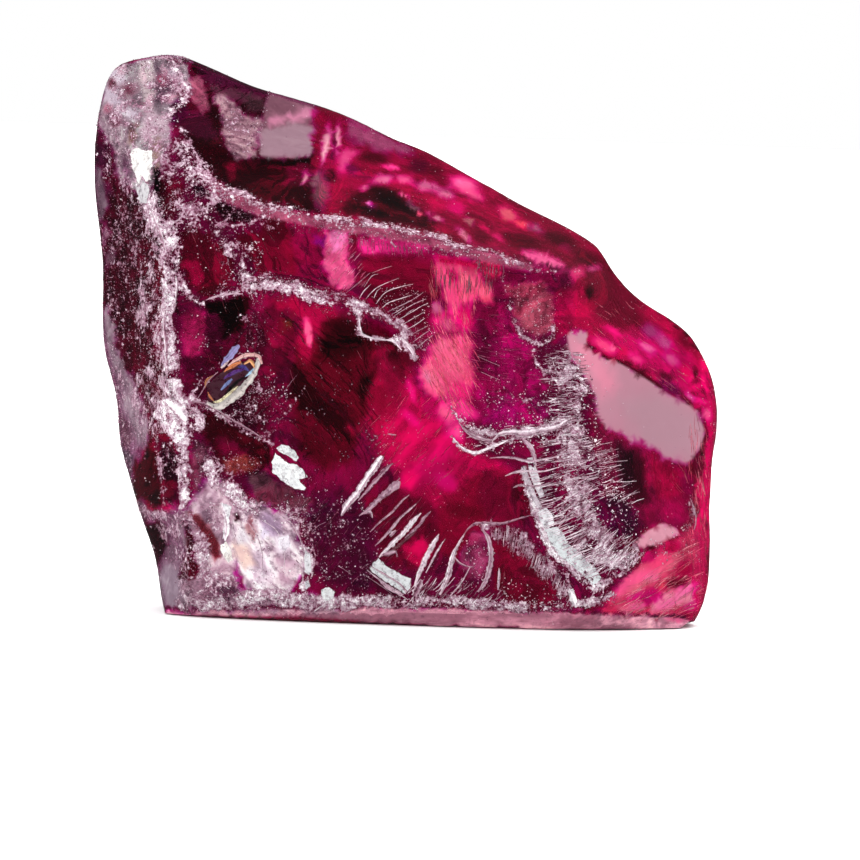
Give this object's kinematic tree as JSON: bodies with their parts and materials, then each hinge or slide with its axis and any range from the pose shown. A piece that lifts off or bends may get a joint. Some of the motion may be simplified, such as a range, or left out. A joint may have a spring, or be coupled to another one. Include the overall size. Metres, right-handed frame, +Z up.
{
  "type": "rough garnet crystal",
  "caption": "Broken piece of clear raspberry-red garnet with conchoidal faces, frosted ridges and a flat base it stands on.",
  "frame": {"origin": "middle of the stone's box, on the plane of its flat base", "axes": "+X to the right seen from the large front fracture face, along the base; +Y from the front face to the back; +Z up from the base"},
  "size_m": [0.0128, 0.0076, 0.0111],
  "materials": {
    "garnet": "glassy, frosted on the worn ridges"
  },
  "bodies": {
    "root": {"garnet_crystal": "garnet"}
  },
  "joints": []
}
